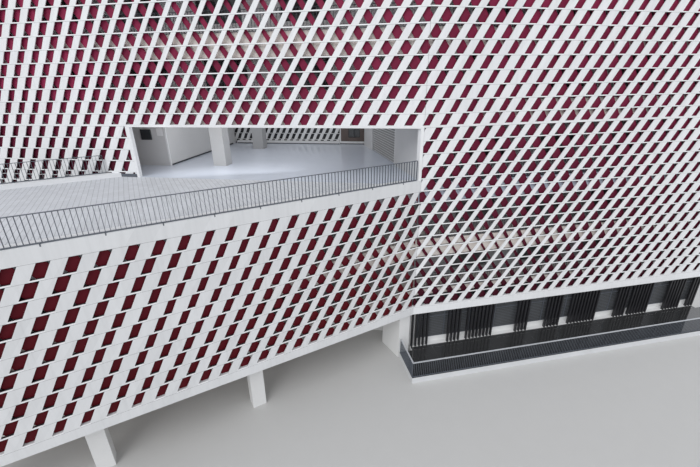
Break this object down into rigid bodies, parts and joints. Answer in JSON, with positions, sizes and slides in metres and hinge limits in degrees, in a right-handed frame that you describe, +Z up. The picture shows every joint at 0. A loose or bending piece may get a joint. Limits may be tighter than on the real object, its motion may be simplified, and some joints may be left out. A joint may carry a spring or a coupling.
{
  "type": "office building, 1:2 scale model",
  "caption": "Multi-storey office building with a white leaning-strip lattice skin, a roofed opening through one storey, and a low terrace wing raised on columns.",
  "frame": {"origin": "middle of the footprint's box, at ground level", "axes": "+X along the main block's front towards the bend corner, +Y from front to back, +Z up"},
  "size_m": [28.7832, 20.8027, 13.377],
  "materials": {
    "skin_white": "satin white coating",
    "concrete": "smooth cast concrete",
    "render_white": "painted plaster",
    "wall_grey": "painted plaster",
    "paving_grey": "honed stone",
    "rail_grey": "satin",
    "fin_dark": "satin black",
    "fin_red": "satin oxide red",
    "panel_brown": "satin brown",
    "window_glass": "clear"
  },
  "bodies": {
    "root": {"corridor_rails": "rail_grey", "deck_railing": "rail_grey", "floor_2_glass": "window_glass", "floor_2_slab": "concrete", "floor_2_walls": "wall_grey", "floor_3_glass": "window_glass", "floor_3_slab": "concrete", "floor_3_walls": "wall_grey", "floor_5_glass": "window_glass", "floor_5_slab": "concrete", "floor_5_walls": "wall_grey", "floor_6_glass": "window_glass", "floor_6_slab": "concrete", "floor_6_walls": "wall_grey", "front_deck": "paving_grey", "ground_glass": "window_glass", "ground_slabs": "concrete", "ground_walls": "wall_grey", "main_skin_back": "skin_white", "main_skin_beside_mouth": "skin_white", "main_skin_end": "skin_white", "main_skin_low": "skin_white", "main_skin_upper": "skin_white", "mouth_frame": "skin_white", "passage_back_panel": "panel_brown", "passage_columns": "render_white", "passage_screen": "skin_white", "right_skin_back": "skin_white", "right_skin_end": "skin_white", "right_skin_lower": "skin_white", "right_skin_upper": "skin_white", "roof_slab": "concrete", "roof_upstand": "render_white", "shade_fins": "fin_dark", "terrace_floor_glass": "window_glass", "terrace_floor_walls": "render_white", "terrace_kerbs": "render_white", "terrace_slab": "paving_grey", "under_columns": "render_white", "wing_railing_back": "rail_grey", "wing_railing_end": "rail_grey", "wing_railing_front": "rail_grey", "wing_skin_back": "skin_white", "wing_skin_end": "skin_white", "wing_skin_front": "skin_white"}
  },
  "joints": []
}
